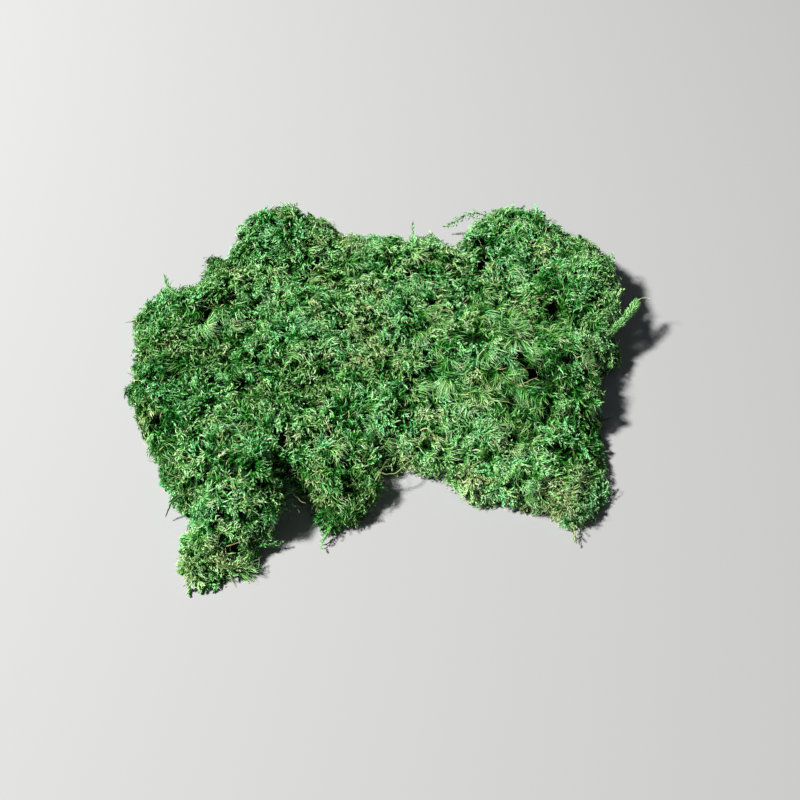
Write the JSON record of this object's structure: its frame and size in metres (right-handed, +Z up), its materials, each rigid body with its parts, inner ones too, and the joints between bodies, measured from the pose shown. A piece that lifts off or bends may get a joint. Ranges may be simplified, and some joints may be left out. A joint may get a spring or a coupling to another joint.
{
  "type": "moss clump",
  "caption": "Torn mat of green moss lying flat, with soft cushions, dark pits, a ragged fringe, loose leafy sprigs and bare old stems.",
  "frame": {"origin": "on the surface that the clump lies on, under the middle of its box", "axes": "+Z up, +X along the mat's length towards its tall end, +Y across it, away from the side with the flap and the tongue"},
  "size_m": [0.3218, 0.2648, 0.0389],
  "materials": {
    "moss": "dry springy moss, mid green to olive, with straw-coloured dead leaves and near-black gaps",
    "fresh_moss": "bright green leafy shoots, paler at the leaf tips",
    "old_stem": "dry straw-brown stem, matt"
  },
  "bodies": {
    "root": {"moss_mat": "moss", "sprig_right": "fresh_moss", "sprig_left": "fresh_moss", "sprig_back": "fresh_moss", "sprig_notch": "fresh_moss", "sprig_flap": "fresh_moss", "sprig_tongue": "fresh_moss", "sprig_front": "fresh_moss", "bare_stem_bay": "old_stem", "bare_stem_tongue": "old_stem", "bare_stem_flap": "old_stem"}
  },
  "joints": []
}
